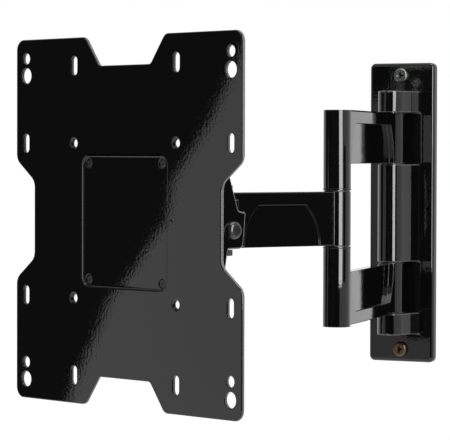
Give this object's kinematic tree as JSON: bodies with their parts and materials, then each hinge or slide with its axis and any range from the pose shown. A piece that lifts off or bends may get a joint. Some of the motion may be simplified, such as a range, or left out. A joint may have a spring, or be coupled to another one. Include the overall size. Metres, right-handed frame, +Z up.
{
  "type": "swivel tv wall mount",
  "caption": "Articulated wall mount: wall bracket with column, two swing arms, tilting head and a pressed screen plate with hole patterns.",
  "frame": {"origin": "centre of the wall bracket's back face, on the wall", "axes": "+Z up, +Y into the wall, +X to the right as seen from the room; the mount reaches out along -Y"},
  "size_m": [0.2089, 0.4447, 0.2364],
  "materials": {
    "black_paint": "glossy black powder coat",
    "zinc_screw": "dark zinc plate",
    "steel_pin": "ground steel",
    "black_bolt": "satin black",
    "black_nylon": "moulded nylon"
  },
  "bodies": {
    "wall": {"wall_plate": "black_paint", "wall_screw_top": "zinc_screw", "wall_screw_bottom": "zinc_screw", "wall_pin": "steel_pin", "wall_plug_top": "black_nylon", "wall_plug_bottom": "black_nylon"},
    "inner_arm": {"link_leg_top": "black_paint", "link_leg_bottom": "black_paint", "elbow_pin": "steel_pin", "wall_bush_top_outer": "black_nylon", "wall_bush_top_inner": "black_nylon", "wall_bush_bottom_outer": "black_nylon", "wall_bush_bottom_inner": "black_nylon", "elbow_plug_top": "black_nylon", "elbow_plug_bottom": "black_nylon", "elbow_washer_top": "black_paint", "elbow_washer_bottom": "black_paint"},
    "outer_arm": {"outer_arm": "black_paint", "elbow_bush_top": "black_nylon", "elbow_bush_bottom": "black_nylon", "head_bush_top": "black_nylon", "head_bush_bottom": "black_nylon"},
    "head": {"tilt_yoke": "black_paint", "head_pin": "steel_pin", "head_nut": "zinc_screw", "tilt_bolt_right": "black_bolt", "tilt_bolt_left": "black_bolt", "tilt_washer_right": "black_nylon", "tilt_washer_left": "black_nylon", "tilt_nut_right": "zinc_screw", "tilt_nut_left": "zinc_screw"},
    "screen": {"tilt_bracket": "black_paint", "screen_plate": "black_paint", "plate_screws": "zinc_screw", "plate_nuts": "zinc_screw"}
  },
  "joints": [
    {"name": "wall_swing", "type": "hinge", "parent": "wall", "child": "inner_arm", "pos_m": [0, -0.0245, 0], "axis": [0, 0, 1], "range_deg": [-100.1, 75.9]},
    {"name": "elbow_swing", "type": "hinge", "parent": "inner_arm", "child": "outer_arm", "pos_m": [0.03599, -0.19239, 0], "axis": [0, 0, 1], "range_deg": [-52.3, 127.7]},
    {"name": "head_swing", "type": "hinge", "parent": "outer_arm", "child": "head", "pos_m": [-0.00791, -0.28401, 0], "axis": [0, 0, 1], "range_deg": [-65.9, 54.1]},
    {"name": "screen_tilt", "type": "hinge", "parent": "head", "child": "screen", "pos_m": [-0.01654, -0.30811, -0.005], "axis": [0.9415, -0.3371, 0], "range_deg": [-5, 15]}
  ]
}
